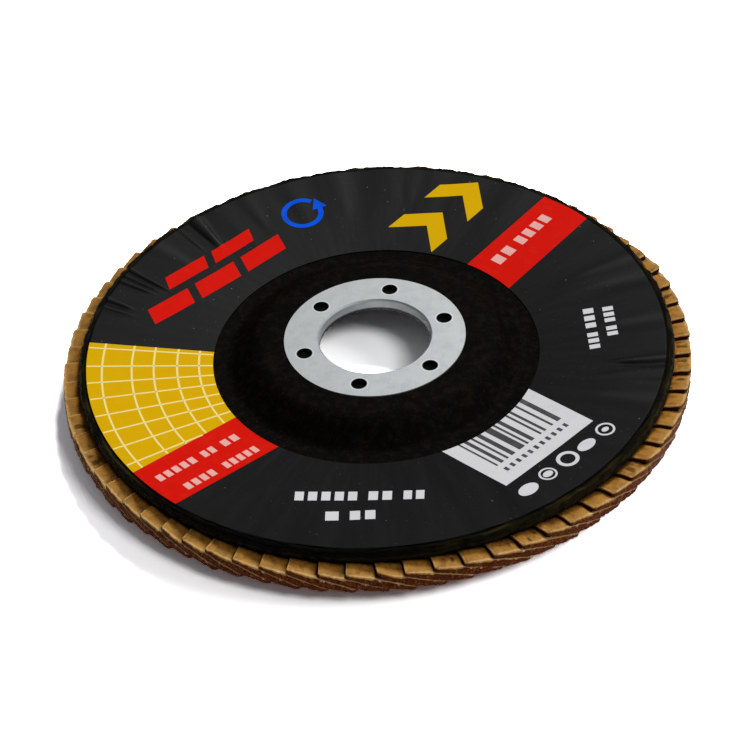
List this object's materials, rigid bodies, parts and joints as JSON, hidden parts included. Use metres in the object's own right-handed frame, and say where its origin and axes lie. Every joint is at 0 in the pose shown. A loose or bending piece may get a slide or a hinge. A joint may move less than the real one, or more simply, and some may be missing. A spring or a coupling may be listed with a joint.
{
  "type": "flap disc",
  "caption": "Conical flap disc for an angle grinder: overlapping abrasive cloth flaps glued under a moulded fibre backing plate with a steel centre ring and a printed label.",
  "frame": {"origin": "on the bore's axis, in the flat underside of the hub, where the clamping nut seats and the ring's collar ends", "axes": "+Z along the bore's axis, out of the printed label and towards the grinder; the flaps are on the -Z side; +X runs to the right and +Y away when the label is seen with its gridded yellow sector on the left"},
  "size_m": [0.125, 0.125, 0.0117],
  "materials": {
    "fibre_plate": "dark phenolic glass fibre, coarse mottled fibres",
    "ring_steel": "zinc plated, dull, fine scratches",
    "resin": "dark cured resin",
    "label_paper": "satin black print, slightly wrinkled",
    "yellow_ink": "satin print",
    "red_ink": "satin print",
    "blue_ink": "satin print",
    "white_ink": "satin print",
    "grey_ink": "satin print",
    "abrasive_cloth": "tan backing cloth with reddish brown grain"
  },
  "bodies": {
    "root": {"backing_plate": "fibre_plate", "centre_ring": "ring_steel", "adhesive_bead": "resin", "label": "label_paper", "print_yellow": "yellow_ink", "print_red": "red_ink", "print_blue": "blue_ink", "print_white": "white_ink", "print_bars": "grey_ink", "flaps_01": "abrasive_cloth", "flaps_02": "abrasive_cloth", "flaps_03": "abrasive_cloth", "flaps_04": "abrasive_cloth", "flaps_05": "abrasive_cloth", "flaps_06": "abrasive_cloth", "flaps_07": "abrasive_cloth", "flaps_08": "abrasive_cloth", "flaps_09": "abrasive_cloth", "flaps_10": "abrasive_cloth", "flaps_11": "abrasive_cloth", "flaps_12": "abrasive_cloth", "flaps_13": "abrasive_cloth", "flaps_14": "abrasive_cloth", "flaps_15": "abrasive_cloth", "flaps_16": "abrasive_cloth", "flaps_17": "abrasive_cloth", "flaps_18": "abrasive_cloth", "flaps_19": "abrasive_cloth", "flaps_20": "abrasive_cloth", "flaps_21": "abrasive_cloth", "flaps_22": "abrasive_cloth", "flaps_23": "abrasive_cloth", "flaps_24": "abrasive_cloth", "flaps_25": "abrasive_cloth", "flaps_26": "abrasive_cloth", "flaps_27": "abrasive_cloth", "flaps_28": "abrasive_cloth", "flaps_29": "abrasive_cloth", "flaps_30": "abrasive_cloth", "flaps_31": "abrasive_cloth", "flaps_32": "abrasive_cloth", "flaps_33": "abrasive_cloth", "flaps_34": "abrasive_cloth", "flaps_35": "abrasive_cloth", "flaps_36": "abrasive_cloth"}
  },
  "joints": []
}
